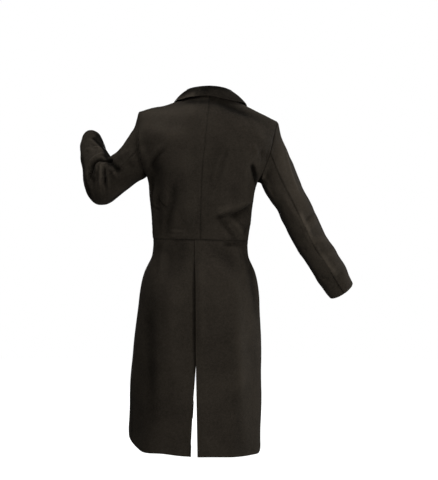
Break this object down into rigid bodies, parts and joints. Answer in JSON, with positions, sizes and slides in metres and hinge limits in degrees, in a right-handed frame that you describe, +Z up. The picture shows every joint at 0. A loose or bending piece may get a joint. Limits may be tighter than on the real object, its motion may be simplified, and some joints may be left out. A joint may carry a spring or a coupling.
{
  "type": "tailcoat",
  "caption": "Long black tailcoat in its worn shape: turned-down collar, notch lapels, waist seam and tails that lap at a centre back vent",
  "frame": {"origin": "middle of the neck, level with the inner ends of the shoulder seams, where the wearer's shoulders hold the coat", "axes": "+Z up, +Y the way the wearer faces, +X towards the wearer's right hand"},
  "size_m": [0.956, 0.4001, 1.2363],
  "materials": {
    "cloth": "fine matt twill",
    "button": "cloth-covered, slightly glossy"
  },
  "bodies": {
    "root": {"back_left": "cloth", "front_left": "cloth", "tail_left": "cloth", "top_sleeve_left": "cloth", "under_sleeve_left": "cloth", "lapel_left": "cloth", "back_right": "cloth", "front_right": "cloth", "tail_right": "cloth", "top_sleeve_right": "cloth", "under_sleeve_right": "cloth", "lapel_right": "cloth", "collar": "cloth", "button": "button"}
  },
  "joints": []
}
